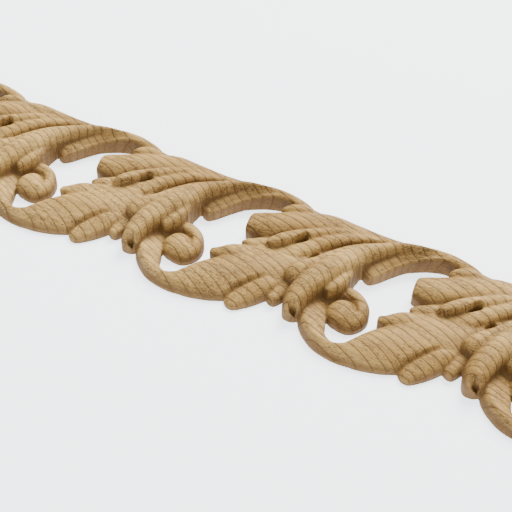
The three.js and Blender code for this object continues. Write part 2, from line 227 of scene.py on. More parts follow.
STRANDS: dict[str, Strand] = {
    "stem": Strand((
        (-500, 40, 50, 30, 28, 28, 0),
        (-530, -80, 65, 45, 30, 20, 0.5),
        (-538, -190, 73, 63, 44, 15, 0.5),
        (-520, -272, 73, 74, 48, 14, 0.5),
        (-488, -325, 66, 78, 52, 14, 0.42),
        (-451, -370, 50, 78, 56, 14, 0.25),
        (-406, -400, 40, 77, 60, 14, -0.1),
        (-350, -415, 35, 75, 62, 14, -0.6),
        (-289, -407, 48, 78, 62, 14, -0.65),
        (-219, -372, 70, 80, 58, 16, -0.5),
        (-144, -316, 90, 75, 50, 18, -0.35),
    ), fullness=-0.6),
    "body": Strand((
        (-350, -415, 20, 50, 45, 14, -0.6),
        (-289, -407, 42, 74, 58, 14, -0.6),
        (-219, -372, 80, 88, 60, 16, -0.5),
        (-144, -316, 118, 97, 52, 18, -0.35),
        (-60, -246, 143, 102, 44, 22, -0.2),
        (30, -160, 165, 104, 46, 25, 0),
        (130, -70, 165, 102, 60, 35, 0),
        (240, 30, 120, 98, 60, 50, 0),
    ), fullness=0.6),
    "upper_tip": Strand((
        (-213, -128, 21, 68, 60, 60, 0),
        (-165, -121, 33, 84, 66, 68, 0),
        (-90, -80, 53, 98, 64, 74, 0),
        (0, -30, 45, 84, 55, 60, 0),
    ), fullness=0.6, rounded=0.08),
    "small_tip": Strand((
        (-95, 9, 15, 66, 58, 56, 0),
        (-55, 22, 33, 78, 53, 60, 0),
        (20, 55, 45, 90, 50, 60, 0),
        (140, 145, 30, 85, 50, 50, 0),
    ), fullness=0.6, rounded=0.3),
    "broad_lobe": Strand((
        (-131, 154, 61, 106, 77, 55, 0),
        (-70, 161, 84, 118, 75, 45, 0),
        (20, 188, 96, 134, 75, 55, 0),
        (140, 250, 94, 144, 80, 85, 0),
        (285, 312, 82, 148, 85, 110, 0),
        (440, 329, 56, 147, 90, 115, 0),
        (600, 336, 39, 145, 90, 115, 0),
        (750, 356, 28, 138, 90, 110, 0),
        (880, 385, 15, 120, 80, 90, 0),
    ), fullness=0.8, rounded=0.03),
    "curl": Strand((
        (0, 302, 26, 105, 95, 95, 0),
        (50, 325, 34, 130, 100, 110, 0),
        (120, 345, 30, 132, 100, 110, 0),
        (200, 350, 27, 122, 90, 100, 0),
        (280, 354, 20, 112, 80, 80, 0),
    ), fullness=0.8, rounded=0.3),
    "first_finger": Strand((
        (50, 26, 20, 120, 108, 108, 0),
        (94, 70, 36, 143, 110, 118, 0.2),
        (155, 125, 40, 153, 110, 122, 0.2),
        (240, 185, 38, 156, 110, 120, 0),
        (340, 252, 36, 153, 110, 120, 0),
        (460, 302, 28, 149, 110, 120, 0),
        (575, 330, 12, 135, 110, 120, 0),
    ), fullness=0.9, rounded=0.1),
    "rib": Strand((
        (60, -60, 50, 80, 60, 60, 0),
        (150, 20, 60, 100, 78, 78, 0),
        (245, 100, 56, 126, 100, 98, 0),
        (340, 180, 48, 147, 110, 110, 0),
        (450, 255, 40, 155, 120, 120, 0),
        (570, 310, 26, 147, 120, 120, 0),
        (670, 335, 12, 135, 120, 120, 0),
    ), fullness=0.7),
    "second_finger": Strand((
        (262, -138, 40, 115, 90, 90, 0),
        (286, -92, 54, 148, 100, 100, 0),
        (316, -34, 45, 152, 105, 115, 0),
        (358, 26, 34, 150, 105, 120, 0),
        (414, 100, 34, 154, 115, 125, 0),
        (490, 183, 34, 157, 120, 130, 0),
        (590, 260, 28, 152, 120, 130, 0),
        (690, 312, 14, 137, 120, 120, 0),
    ), fullness=0.9, rounded=0.1),
    "frond": Strand((
        (381, -327, 42, 112, 30, 35, 0),
        (368, -270, 58, 140, 50, 80, 0.1),
        (366, -190, 74, 158, 60, 105, 0.1),
        (389, -110, 74, 172, 80, 120, 0),
        (428, -20, 78, 180, 100, 120, 0),
        (480, 70, 76, 184, 120, 130, 0),
        (544, 172, 54, 176, 130, 120, -0.3),
        (628, 260, 37, 166, 130, 120, -0.3),
        (728, 340, 24, 154, 120, 115, -0.3),
        (840, 386, 14, 142, 115, 110, 0),
        (930, 402, 8, 125, 110, 110, 0),
    ), fullness=0.8, rounded=0.07),
    "flank_lobe": Strand((
        (474, -126, 22, 105, 90, 85, 0),
        (505, -85, 36, 130, 100, 90, 0),
        (528, -30, 35, 140, 110, 100, 0),
        (540, 35, 29, 142, 120, 110, 0),
        (552, 100, 21, 140, 120, 110, 0),
        (572, 172, 12, 130, 120, 110, 0),
    ), fullness=0.9, rounded=0.1),
    "arch": Strand((
        (597, 110, 36, 70, 66, 50, -0.4),
        (632, 162, 46, 90, 86, 56, -0.8),
        (682, 233, 44, 100, 94, 62, -0.8),
        (742, 306, 42, 112, 104, 68, -0.8),
        (805, 352, 42, 122, 110, 78, -0.8),
        (872, 382, 36, 128, 110, 90, -0.6),
        (955, 398, 27, 127, 110, 100, -0.4),
        (1040, 392, 28, 124, 105, 105, -0.2),
        (1120, 370, 27, 122, 105, 100, 0),
        (1200, 345, 14, 110, 90, 80, 0),
    ), fullness=0.3, rounded=0.07),
    "horn_lip": Strand((
        (624, 104, 10, 62, 55, 55, 0.3),
        (660, 143, 12, 70, 60, 62, 0.3),
        (706, 212, 13, 78, 65, 70, 0.3),
        (762, 284, 13, 86, 70, 78, 0.3),
        (820, 326, 13, 98, 78, 88, 0.3),
        (882, 360, 13, 114, 90, 100, 0.3),
        (960, 382, 11, 120, 100, 100, 0.3),
        (1040, 376, 10, 116, 100, 95, 0),
    ), fullness=0.4, rounded=0.05),
    "bed": Strand((
        (100, -120, 90, 70, 50, 50, 0),
        (250, 0, 115, 90, 60, 60, 0),
        (380, 110, 115, 105, 80, 80, 0),
        (500, 205, 88, 112, 90, 90, 0),
        (620, 275, 60, 112, 90, 90, 0),
        (740, 325, 35, 105, 90, 90, 0),
    ), fullness=0.6),
    "lower_lobe": Strand((
        (30, -394, 38, 28, 20, 16, 0),
        (66, -346, 56, 56, 35, 14, -0.6),
        (122, -280, 58, 78, 50, 18, -0.7),
        (175, -216, 48, 94, 70, 30, -0.6),
        (222, -140, 28, 72, 60, 50, 0),
    ), fullness=1, rounded=0.14),
    "bud": Strand((
        (228, -277, 26, 50, 30, 30, 0),
        (243, -236, 38, 62, 36, 36, 0),
        (264, -175, 38, 70, 50, 45, 0),
        (280, -130, 36, 75, 55, 50, 0),
    ), fullness=0.9, rounded=0.15),
    "web": Strand((
        (-530, 50, 50, 54, 45, 45, 0),
        (-495, -40, 55, 54, 45, 45, 0),
        (-475, -110, 70, 51, 45, 45, 0),
        (-470, -190, 30, 43, 33, 33, 0),
    ), fullness=0.5),
    "volute": Strand((
        (-530, -34, 40, 58, 35, 43, -0.2),
        (-458, -50, 44, 75, 45, 44, -0.4),
        (-401.5, -52, 46, 82, 47, 42, -0.5),
        (-353.5, -74, 48, 84, 47, 42, -0.5),
        (-318, -117, 50, 82, 42, 45, -0.4),
        (-308, -172, 50, 75, 35, 50, -0.2),
        (-335, -222, 42, 62, 25, 40, 0),
        (-390, -225, 36, 45, 20, 30, 0),
    ), fullness=0),
    "tail": Strand((
        (-345, -140, 10, 78, 50, 50, 0),
        (-335, -180, 34, 86, 50, 50, 0),
        (-352, -222, 36, 66, 30, 30, 0),
        (-390, -238, 28, 40, 20, 20, 0),
    ), fullness=0.9, rounded=0.2),
}
DOME = Dome()
GROOVES = (
    Groove((
        (-0.492, -0.19), (-0.472, -0.145), (-0.45, -0.11), (-0.41, -0.088), (-0.366, -0.097),
        (-0.341, -0.135), (-0.334, -0.175),
    ), width=0.019, depth=0.013),
    Groove(((0.384, -0.282), (0.389, -0.321)), width=0.03, depth=0.045),
    Groove((
        (0.004, -0.372), (0.024, -0.33), (0.046, -0.292), (0.077, -0.251), (0.112, -0.208), (0.148, -0.166),
    ), width=0.016, depth=0.02),
)
EYE_FLOOR = 3.6 * MM
EYES = (
    Eye((0.182, 0.094), (0.236, 0.152), 0.85 * MM),
    Eye((0.294, 0.046), (0.341, 0.087), 0.75 * MM),
)
TIP_HOLE = (0.386, -0.302)
TIP_HOLE_RADIUS = 0.8 * MM
TIP_HOLE_FLOOR = 1.8 * MM


@dataclass
class Relief:
    """One repeat of the carving as a height at each place of a fine grid that closes on itself.

    columns is how many places a repeat has, and the grid is square in the drawing. low and high are how far
    it reaches across, past both edges of the carving. section_step is how far apart a strand's sections are,
    and groove_spots how many places a groove is cut at. least_weight keeps the blurred cover off nought.
    """

    sizes: Sizes
    columns: int = 352
    low: float = -0.475
    high: float = 0.451
    section_step: float = 0.6 * MM
    groove_spots: int = 120
    edge_softness: float = 0.22 * MM
    outline_softness: float = 0.25 * MM
    least_weight: float = 1e-6
    height: np.ndarray = field(init=False)
    cover: np.ndarray = field(init=False)

    def __post_init__(self) -> None:
        """Starts with nothing on the grid."""
        rows = round((self.high - self.low) * self.columns)
        self.height = np.zeros((rows, self.columns))
        self.cover = np.zeros_like(self.height)

    def window(self, low: np.ndarray, high: np.ndarray) -> tuple[np.ndarray, np.ndarray, tuple]:
        """The part of the grid inside a box of the drawing.

        Args:
            low: Least along and across.
            high: Greatest along and across.

        Returns:
            Along and across of its places, and the index that picks them out of a grid that closes on itself.
        """
        first = np.floor(low * self.columns).astype(int)
        last = np.ceil(high * self.columns).astype(int) + 1
        i = np.arange(first[0], last[0])
        j = np.arange(first[1], last[1])
        base = round(self.low * self.columns)
        j = j[(j >= base) & (j < base + len(self.height))]
        along, across = np.meshgrid(i / self.columns, j / self.columns)
        return along, across, np.ix_(j - base, i % self.columns)

    def lay(self, strand: Strand) -> None:
        """Raises the relief to a strand, one band between two sections at a time."""
        share = strand.shares(self.sizes.drawn(self.section_step))
        rows = smooth(strand.rows(), share)
        left, right = strand.edges(share, rows)
        full = strand.full(share)
        for near, far in zip(range(len(share) - 1), range(1, len(share))):
            band = np.array([left[near], right[near], left[far], right[far]])
            along, across, place = self.window(band.min(0), band.max(0))
            gap_near = self._beyond(along, across, left[near], right[near])
            gap_far = self._beyond(along, across, left[far], right[far])
            within = (gap_near <= 0) != (gap_far <= 0)
            spread = np.where(within, gap_near - gap_far, 1)
            part = np.where(within, gap_near / spread, 0)[..., None]
            start = left[near] + (left[far] - left[near]) * part
            end = right[near] + (right[far] - right[near]) * part
            reach = end - start
            offset = np.stack([along, across], axis=-1) - start
            side = (offset * reach).sum(-1) / np.maximum((reach**2).sum(-1), TINY) * 2 - 1
            within &= np.abs(side) <= 1
            station = rows[near] + (rows[far] - rows[near]) * part
            fullness = full[near] + (full[far] - full[near]) * part[..., 0]
            top = strand.height(station, np.clip(side, -1, 1), fullness)
            self.height[place] = np.maximum(self.height[place], np.where(within, top, 0))

    @staticmethod
    def _beyond(along: np.ndarray, across: np.ndarray, left: np.ndarray, right: np.ndarray) -> np.ndarray:
        """How far places lie beyond the line of a section: the cross product of the line with the offset."""
        reach = right - left
        return reach[0] * (across - left[1]) - reach[1] * (along - left[0])

    def crown(self, dome: Dome) -> None:
        """Raises the relief to a dome: foot + (top - foot) * sqrt(1 - out^2), with out 1 at its rim."""
        middle = np.array([dome.along, dome.across])
        along, across, place = self.window(middle - dome.radius, middle + dome.radius)
        out = np.hypot(along - dome.along, across - dome.across) / dome.radius
        top = dome.foot + (dome.top - dome.foot) * np.sqrt(np.maximum(1 - out**2, 0))
        self.height[place] = np.maximum(self.height[place], np.where(out < 1, top, 0))

    def pierce(self, eye: Eye) -> None:
        """Cuts a drop-shaped pocket down to its floor, its half width growing evenly from the point."""
        start, end = np.array(eye.start), np.array(eye.end)
        half = self.sizes.drawn(eye.half)
        along, across, place = self.window(np.minimum(start, end) - half, np.maximum(start, end) + half)
        length = math.dist(eye.start, eye.end)
        heading = (end - start) / length
        run = (along - start[0]) * heading[0] + (across - start[1]) * heading[1]
        off = (across - start[1]) * heading[0] - (along - start[0]) * heading[1]
        centre = length - half
        round_end = np.sqrt(np.maximum(half**2 - (run - centre) ** 2, 0))
        widest = np.where(run < centre, half * run / centre, round_end)
        inside = (run > 0) & (run < length) & (np.abs(off) < widest)
        self._lower(place, inside, EYE_FLOOR)

    def gouge(self, groove: Groove) -> None:
        """Cuts a groove: the height falls by depth * fade * (1 - (off / width)^2).

        Off is how far a place lies from the nearest spot of the groove, and fade falls to 0 at both its ends.
        """
        share = np.linspace(0, 1, self.groove_spots)
        path = smooth(np.array(groove.points), share)
        along, across, place = self.window(path.min(0) - groove.width, path.max(0) + groove.width)
        off = np.full(along.shape, np.inf)
        fade = np.zeros(along.shape)
        for spot, part in zip(path, np.sin(np.pi * share) ** 0.5):
            gap = np.hypot(along - spot[0], across - spot[1]) / groove.width
            nearer = gap < off
            off = np.where(nearer, gap, off)
            fade = np.where(nearer, part, fade)
        cut = groove.depth * fade * np.maximum(1 - off**2, 0)
        self.height[place] = np.where(self.height[place] > 0, self.height[place] - cut, 0)

    def drill(self, at: tuple[float, float], radius: float, floor: float) -> None:
        """Drills a round hole down to its floor."""
        middle = np.array(at)
        reach = self.sizes.drawn(radius)
        along, across, place = self.window(middle - reach, middle + reach)
        self._lower(place, np.hypot(along - middle[0], across - middle[1]) < reach, floor)

    def _lower(self, place: tuple, inside: np.ndarray, floor: float) -> None:
        """Cuts the places of a window that are inside down to a floor in metres."""
        lowered = np.minimum(self.height[place], self.sizes.drawn_up(floor))
        self.height[place] = np.where(inside, lowered, self.height[place])

    def blurred(self, values: np.ndarray, softness: float) -> np.ndarray:
        """Blurs values with a round Gaussian, by its gain exp(-2 (pi s f)^2) on each frequency."""
        steps = self.sizes.drawn(softness) * self.columns
        rows, columns = values.shape
        frequency = np.hypot(np.fft.fftfreq(rows)[:, None], np.fft.rfftfreq(columns)[None, :])
        gain = np.exp(-2 * (math.pi * steps * frequency) ** 2)
        return np.fft.irfft2(np.fft.rfft2(values) * gain, s=values.shape)

    def soften(self) -> None:
        """Rounds every edge a little.

        The height is blurred over the carving alone, so its rim keeps its height.
        """
        solid = (self.height > 0).astype(float)
        weight = np.maximum(self.blurred(solid, self.edge_softness), self.least_weight)
        self.height = self.blurred(self.height * solid, self.edge_softness) / weight
        self.cover = self.blurred(solid, self.outline_softness)

    def read(self, values: np.ndarray, along: np.ndarray, across: np.ndarray) -> np.ndarray:
        """Reads a grid between its places, evenly weighted by nearness, with the row's repeats all alike."""
        inside = 1.001
        base = round(self.low * self.columns)
        x = along * self.columns
        y = np.clip(across * self.columns - base, 0, len(values) - inside)
        i, j = np.floor(x).astype(int), np.floor(y).astype(int)
        u, v = x - i, y - j
        i, k = i % self.columns, (i + 1) % self.columns
        lower = values[j, i] * (1 - u) + values[j, k] * u
        upper = values[j + 1, i] * (1 - u) + values[j + 1, k] * u
        return lower * (1 - v) + upper * v

    def carve(self) -> None:
        """Carves the repeat: the strands and the dome, then every cut, and last the soft edges."""
        for strand in STRANDS.values():
            self.lay(strand)
        self.crown(DOME)
        for groove in GROOVES:
            self.gouge(groove)
        for eye in EYES:
            self.pierce(eye)
        self.drill(TIP_HOLE, TIP_HOLE_RADIUS, TIP_HOLE_FLOOR)
        self.soften()


class Face(IntEnum):
    """What a face of the finished piece belongs to."""

    CARVED = 0
    WALL = 1
    BACK = 2
    CUT = 3


def corners(grid: np.ndarray) -> tuple[np.ndarray, ...]:
    """Views of a grid's values at each cell's four corners, counter-clockwise from the lowest place."""
    return grid[:-1, :-1], grid[:-1, 1:], grid[1:, 1:], grid[1:, :-1]


def doubled(p: tuple, q: tuple, r: tuple) -> np.ndarray:
    """Twice the area of triangles, above 0 where their corners run counter-clockwise."""
    return (q[0] - p[0]) * (r[1] - p[1]) - (q[1] - p[1]) * (r[0] - p[0])


def placed(name: str, data: bpy.types.ID) -> bpy.types.Object:
    """Puts a new object with that mesh, light or camera into the scene."""
    made = bpy.data.objects.new(name, data)
    bpy.context.scene.collection.objects.link(made)
    return made


@dataclass
class Moulding:
    """The carved length: the relief laid out in a row, with its upright edges, flat back and two saw cuts.

    divisions is how many steps of the mesh a repeat has. edge_drop is how far the sanded top edge falls at
    the rim, shoulder how far below it the upright edge starts, and least_height the least that is left of
    the top. Places at the rim may move by move_limit cells. A cell has turned over where its smaller triangle
    is under least_part of half a cell, and under fair_part its better diagonal is taken. The fields from
    hollow_blur to wall_steep say what the material is told of each place: where it paints shade into recesses
    and onto sloping faces and upright edges, and on these also their darker end grain.
    """

    sizes: Sizes
    relief: Relief
    divisions: int = 176
    edge_drop: float = 0.25 * MM
    shoulder: float = 0.45 * MM
    least_height: float = 0.1 * MM
    snap_rounds: int = 4
    turn_rounds: int = 6
    step_limit: float = 0.5
    move_limit: float = 0.75
    least_steepness: float = 1e-3
    least_part: float = 0.02
    fair_part: float = 0.5
    hollow_blur: float = 1.6 * MM
    hollow_depth: float = 1.2 * MM
    least_share: float = 0.05
    steep_blur: float = 0.3 * MM
    steep_from: float = 0.4
    steep_over: float = 1.4
    wall_drop: float = 0.4 * MM
    wall_steep: float = 1.6

    def grid(self) -> tuple[np.ndarray, np.ndarray]:
        """Along and across of every place of the mesh's grid, from saw cut to saw cut, in the drawing."""
        count = self.divisions * self.sizes.repeats
        along = self.sizes.saw_cut + np.arange(count + 1) / self.divisions
        rows = round((self.relief.high - self.relief.low) * self.divisions) - 1
        across = self.relief.low + (np.arange(rows) + 0.5) / self.divisions
        return np.meshgrid(along, across)

    def kept_cells(self, along: np.ndarray, across: np.ndarray) -> np.ndarray:
        """The cells whose middle is covered, with cells added where two would meet at a corner alone."""
        middle_along = (along[:-1, :-1] + along[1:, 1:]) / 2
        middle_across = (across[:-1, :-1] + across[1:, 1:]) / 2
        kept = self.relief.read(self.relief.cover, middle_along, middle_across) > OUTLINE
        kept[[0, -1]] = False
        while True:
            a, b, c, d = corners(kept)
            rising = a & c & ~b & ~d
            falling = b & d & ~a & ~c
            if not (rising | falling).any():
                return kept
            b |= rising
            a |= falling

    def snapped(self, along: np.ndarray, across: np.ndarray, kept: np.ndarray) -> tuple:
        """Moves the places at the rim onto the outline, where the cover is one half.

        Each round takes a Newton step along the cover's slope, no longer than step_limit cells, and a place
        stays on its saw cut. Where a cell would turn over, its places go back halfway.

        Returns:
            Along, across, and which places are on the rim.
        """
        around = np.pad(np.pad(kept, ((0, 0), (1, 1)), mode="edge"), ((1, 1), (0, 0)))
        rim = np.any(corners(around), axis=0) & ~np.all(corners(around), axis=0)
        slope_across, slope_along = np.gradient(self.relief.cover, 1 / self.relief.columns)
        j, i = np.nonzero(rim)
        x, y = along[j, i].copy(), across[j, i].copy()
        at_cut = (i == 0) | (i == along.shape[1] - 1)
        longest = self.step_limit / self.divisions
        farthest = self.move_limit / self.divisions
        for _ in range(self.snap_rounds):
            gx = np.where(at_cut, 0, self.relief.read(slope_along, x, y))
            gy = self.relief.read(slope_across, x, y)
            short = OUTLINE - self.relief.read(self.relief.cover, x, y)
            steepness = np.maximum(gx**2 + gy**2, self.least_steepness)
            dx, dy = short * gx / steepness, short * gy / steepness
            scale = np.minimum(1, longest / np.maximum(np.hypot(dx, dy), TINY))
            x, y = x + dx * scale, y + dy * scale
        shift = np.zeros((2,) + along.shape)
        shift[0][j, i] = np.clip(x - along[j, i], -farthest, farthest)
        shift[1][j, i] = np.clip(y - across[j, i], -farthest, farthest)
        for _ in range(self.turn_rounds):
            turned = np.max(self._parted(along + shift[0], across + shift[1]), axis=0) < self.least_part
            turned &= kept
            if not turned.any():
                break
            touched = np.zeros(along.shape, bool)
            for part in corners(touched):
                part |= turned
            shift = np.where(touched, shift / 2, shift)
        return along + shift[0], across + shift[1], rim

    @staticmethod
    def _parted(x: np.ndarray, y: np.ndarray) -> np.ndarray:
        """How well each of a cell's two diagonals parts it: the smaller of its two triangles, in half cells.

        The first is the diagonal that rises to the right, and the second the one that falls.
        """
        a, b, c, d = zip(corners(x), corners(y))
        rising = np.minimum(doubled(a, b, c), doubled(a, c, d))
        falling = np.minimum(doubled(a, b, d), doubled(b, c, d))
        return np.stack([rising, falling]) / (x[0, 2] - x[0, 1]) ** 2

    def build(self) -> bpy.types.Object:
        """Builds the closed mesh.

        Returns:
            The object, whose faces know what they belong to.
        """
        along, across = self.grid()
        kept = self.kept_cells(along, across)
        x, y, rim = self.snapped(along, across, kept)
        parted = self._parted(x, y)
        z = self.sizes.up(self.relief.read(self.relief.height, x, y)) - np.where(rim, self.edge_drop, 0)
        x, y = self.sizes.along(x), self.sizes.across(y)
        x[:, 0], x[:, -1] = -self.sizes.length / 2, self.sizes.length / 2
        tops = np.stack([x, y, np.maximum(z, self.least_height)], axis=-1).reshape(-1, 3)

        number = np.arange(x.size).reshape(x.shape)
        carved = self._carved(number, kept, z, parted)
        edges, is_cut = self._rim_edges(number, kept)
        ring, place = np.unique(edges, return_inverse=True)
        place = place.reshape(edges.shape)
        shoulders = tops[ring] - np.outer(np.minimum(self.shoulder, tops[ring, 2] / 2), (0, 0, 1))
        feet = tops[ring] * (1, 1, 0)
        points = np.concatenate([tops, shoulders, feet])
        on_shoulder, on_foot = place + len(tops), place + len(tops) + len(ring)

        bands = [self._band(edges, on_shoulder), self._band(on_shoulder, on_foot)]
        wall = np.where(is_cut, int(Face.CUT), int(Face.WALL))
        back = self._back(feet[:, :2], place) + len(tops) + len(ring)
        faces = np.concatenate([carved, *bands, back])
        front = np.full(len(carved), int(Face.CARVED))
        under = np.full(len(back), int(Face.BACK))
        return self._object(points, faces, np.concatenate([front, wall, wall, wall, wall, under]))

    def _carved(self, number: np.ndarray, kept: np.ndarray, z: np.ndarray, parted: np.ndarray) -> np.ndarray:
        """Two triangles a kept cell, parted along the diagonal whose ends differ least in height.

        Where one diagonal parts a cell at the rim badly, the better one is taken.
        """
        a, b, c, d = corners(number)
        z_a, z_b, z_c, z_d = corners(z)
        rising = np.abs(z_a - z_c) <= np.abs(z_b - z_d)
        rising = np.where(parted.min(0) < self.fair_part, parted[0] > parted[1], rising)
        first = np.where(rising[..., None], np.stack([a, b, c], -1), np.stack([a, b, d], -1))
        second = np.where(rising[..., None], np.stack([a, c, d], -1), np.stack([b, c, d], -1))
        return np.concatenate([first[kept], second[kept]])

    @staticmethod
    def _rim_edges(number: np.ndarray, kept: np.ndarray) -> tuple[np.ndarray, np.ndarray]:
        """The sides of kept cells that have no kept neighbour, with the material on their left.

        Returns:
            The two ends of each side, and whether it lies on a saw cut.
        """
        around = np.pad(kept, 1)
        a, b, c, d = corners(number)
        sides = (
            (kept & ~around[:-2, 1:-1], a, b),
            (kept & ~around[1:-1, 2:], b, c),
            (kept & ~around[2:, 1:-1], c, d),
            (kept & ~around[1:-1, :-2], d, a),
        )
        edges = np.concatenate([np.stack([start[bare], end[bare]], -1) for bare, start, end in sides])
        column = edges % number.shape[1]
        last = number.shape[1] - 1
        return edges, (column == 0).all(1) | (column == last).all(1)

    @staticmethod
    def _band(upper: np.ndarray, lower: np.ndarray) -> np.ndarray:
        """Two triangles for each side, from a lower ring to the one above it."""
        first = np.stack([lower[:, 0], lower[:, 1], upper[:, 1]], -1)
        second = np.stack([lower[:, 0], upper[:, 1], upper[:, 0]], -1)
        return np.concatenate([first, second])

    @staticmethod
    def _back(feet: np.ndarray, edges: np.ndarray) -> np.ndarray:
        """Fills the flat back between the feet of the upright edges.

        A triangle belongs to it if a line from its middle across the moulding crosses the rim an odd number
        of times.
        """
        scale = 1 / MM
        merge_distance = 1e-7
        chunks = 8
        flat = [Vector(foot) for foot in (feet * scale).tolist()]
        found = delaunay_2d_cdt(flat, edges.tolist(), [], 0, merge_distance)
        triangles = np.array(found[2])
        spots = np.array([tuple(spot) for spot in found[0]])
        if len(spots) != len(feet):
            raise ValueError("the rim of the back crosses itself")
        source = np.array([origin[0] for origin in found[3]])
        middle = spots[triangles].mean(1)
        start, end = feet[edges[:, 0]] * scale, feet[edges[:, 1]] * scale
        crossings = np.zeros(len(middle), int)
        for chunk in np.array_split(np.arange(len(middle)), chunks):
            mx, my = middle[chunk, 0, None], middle[chunk, 1, None]
            spans = (start[:, 0] > mx) != (end[:, 0] > mx)
            run = np.where(end[:, 0] == start[:, 0], 1, end[:, 0] - start[:, 0])
            crossing_y = start[:, 1] + (mx - start[:, 0]) / run * (end[:, 1] - start[:, 1])
            crossings[chunk] = (spans & (crossing_y > my)).sum(1)
        kept = source[triangles[crossings % 2 == 1]]
        upward = doubled(*(feet[corner].T for corner in kept.T)) > 0
        return np.where(upward[:, None], kept[:, ::-1], kept)

    @staticmethod
    def _object(points: np.ndarray, faces: np.ndarray, group: np.ndarray) -> bpy.types.Object:
        """Makes the object: smooth over the carving and its upright edges, sharp at the back and the cuts."""
        used, faces = np.unique(faces, return_inverse=True)
        faces = faces.reshape(-1, 3)
        points = points[used]
        mesh = bpy.data.meshes.new("carved_braid")
        mesh.from_pydata(points.tolist(), [], faces.tolist())
        group_of_loop = np.repeat(group, 3)
        edge_of_loop = np.zeros(len(mesh.loops), np.int32)
        mesh.loops.foreach_get("edge_index", edge_of_loop)
        least = np.full(len(mesh.edges), len(Face))
        most = np.full(len(mesh.edges), -1)
        np.minimum.at(least, edge_of_loop, group_of_loop)
        np.maximum.at(most, edge_of_loop, group_of_loop)
        sharp = (least != most) & (most >= Face.BACK)
        mesh.attributes.new("sharp_edge", "BOOLEAN", "EDGE").data.foreach_set("value", sharp)
        mesh.polygons.foreach_set("use_smooth", np.ones(len(mesh.polygons), bool))
        mesh.update()
        return placed("carved_braid", mesh)

    def dress(self, piece: bpy.types.Object, material: bpy.types.Material) -> None:
        """Gives the piece its oak, and tells the material where it paints shade into recesses and onto
        sloping faces.

        The recess shade follows how far the surface lies below its own wide blur, and the slope shade how
        fast its height changes; upright edges below the top get the most slope shade, which also stands for
        darker end grain.
        """
        relief, sizes = self.relief, self.sizes
        points = np.empty(len(piece.data.vertices) * 3, np.float32)
        piece.data.vertices.foreach_get("co", points)
        x, y, z = points.reshape(-1, 3).astype(float).T
        along = (x + sizes.length / 2) / sizes.repeat + sizes.saw_cut
        across = y * sizes.drawn_width / sizes.width + sizes.drawn_middle
        # painted shade in recesses: how far each place lies below a wide blur of the carving
        covered = (relief.cover > OUTLINE).astype(float)
        wide = relief.blurred(relief.height * covered, self.hollow_blur)
        share = np.maximum(relief.blurred(covered, self.hollow_blur), self.least_share)
        below = sizes.up(relief.read(wide / share - relief.height, along, across))
        hollow_shade = np.clip(below / self.hollow_depth, 0, 1)
        # painted shade on sloping faces and upright edges, which also stands for their darker end grain
        slope_across, slope_along = np.gradient(relief.height, 1 / relief.columns)
        slope = relief.blurred(np.hypot(slope_along, slope_across), self.steep_blur)
        steep_shade_and_end_grain = np.clip((relief.read(slope, along, across) - self.steep_from) / self.steep_over, 0, 1)
        top = sizes.up(relief.read(relief.height, along, across))
        steep_shade_and_end_grain = np.where(z < top - self.wall_drop, self.wall_steep, steep_shade_and_end_grain)
        for name, values in (("hollow_shade", hollow_shade), ("steep_shade_and_end_grain", steep_shade_and_end_grain)):
            layer = piece.data.attributes.new(name, "FLOAT", "POINT")
            layer.data.foreach_set("value", values.astype(np.float32))
        piece.data.materials.append(material)
        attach(piece, BODY)
        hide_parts(NODE)


@dataclass(frozen=True)
class Signal:
    """A socket of a material's nodes that reads like a number: sums on it add the Math nodes they need."""

    bench: Bench
    socket: bpy.types.NodeSocket

    def math(self, operation: str, *others: float | Signal) -> Signal:
        """Adds a Math node of that operation on this value and the others."""
        return self.bench.add("ShaderNodeMath", {"operation": operation}, dict(enumerate((self, *others))))

    def __add__(self, other: float | Signal) -> Signal:
        """This value plus another."""
        return self.math("ADD", other)

    __radd__ = __add__

    def __sub__(self, other: float | Signal) -> Signal:
        """This value less another."""
        return self.math("SUBTRACT", other)

    def __rsub__(self, other: float) -> Signal:
        """Another value less this one."""
        return self.bench.add("ShaderNodeMath", {"operation": "SUBTRACT"}, {0: other, 1: self})

    def __mul__(self, other: float | Signal) -> Signal:
        """This value times another."""
        return self.math("MULTIPLY", other)

    def __truediv__(self, other: float | Signal) -> Signal:
        """This value over another."""
        return self.math("DIVIDE", other)

    def ramp(self, low: float, high: float) -> Signal:
        """A smooth rise from 0 at low to 1 at high."""
        inputs = {"Value": self, "From Min": low, "From Max": high}
        return self.bench.add("ShaderNodeMapRange", {"interpolation_type": "SMOOTHSTEP"}, inputs)


@dataclass(frozen=True)
class Noise:
    """A noise: how often it varies in a metre along, across and up, its finer layers and their strength."""

    scale: tuple
    detail: float = 2
    rough: float = 0.5


@dataclass(frozen=True)
class Bench:
    """Where a material's nodes are put together."""

    tree: bpy.types.NodeTree

    def add(self, kind: str, settings: dict, inputs: dict, output: int | str = 0) -> Signal:
        """Adds a node.

        Args:
            kind: The node's type.
            settings: Its own settings, which are made first.
            inputs: Values or links for its sockets, by name or number.
            output: Which of its sockets to hand back.

        Returns:
            That socket.
        """
        node = self.tree.nodes.new(kind)
        for name, value in settings.items():
            setattr(node, name, value)
        for name, value in inputs.items():
            if isinstance(value, Signal):
                self.tree.links.new(value.socket, node.inputs[name])
            else:
                node.inputs[name].default_value = value
        return Signal(self, node.outputs[output])

    def mix(self, factor: float | Signal, first: tuple | Signal, second: tuple | Signal) -> Signal:
        """Mixes two colours by a factor."""
        first_socket, second_socket, mixed_socket = 6, 7, 2
        settings = {"data_type": "RGBA", "blend_type": "MIX", "clamp_factor": True}
        inputs = {0: factor, first_socket: first, second_socket: second}
        return self.add("ShaderNodeMix", settings, inputs, mixed_socket)

    def noise(self, place: Signal, noise: Noise) -> Signal:
        """The noise at a place, from 0 to 1."""
        stretched = self.add("ShaderNodeMapping", {}, {"Scale": noise.scale, "Vector": place})
        inputs = {"Vector": stretched, "Scale": 1.0, "Detail": noise.detail, "Roughness": noise.rough}
        return self.add("ShaderNodeTexNoise", {"noise_dimensions": "3D"}, inputs)


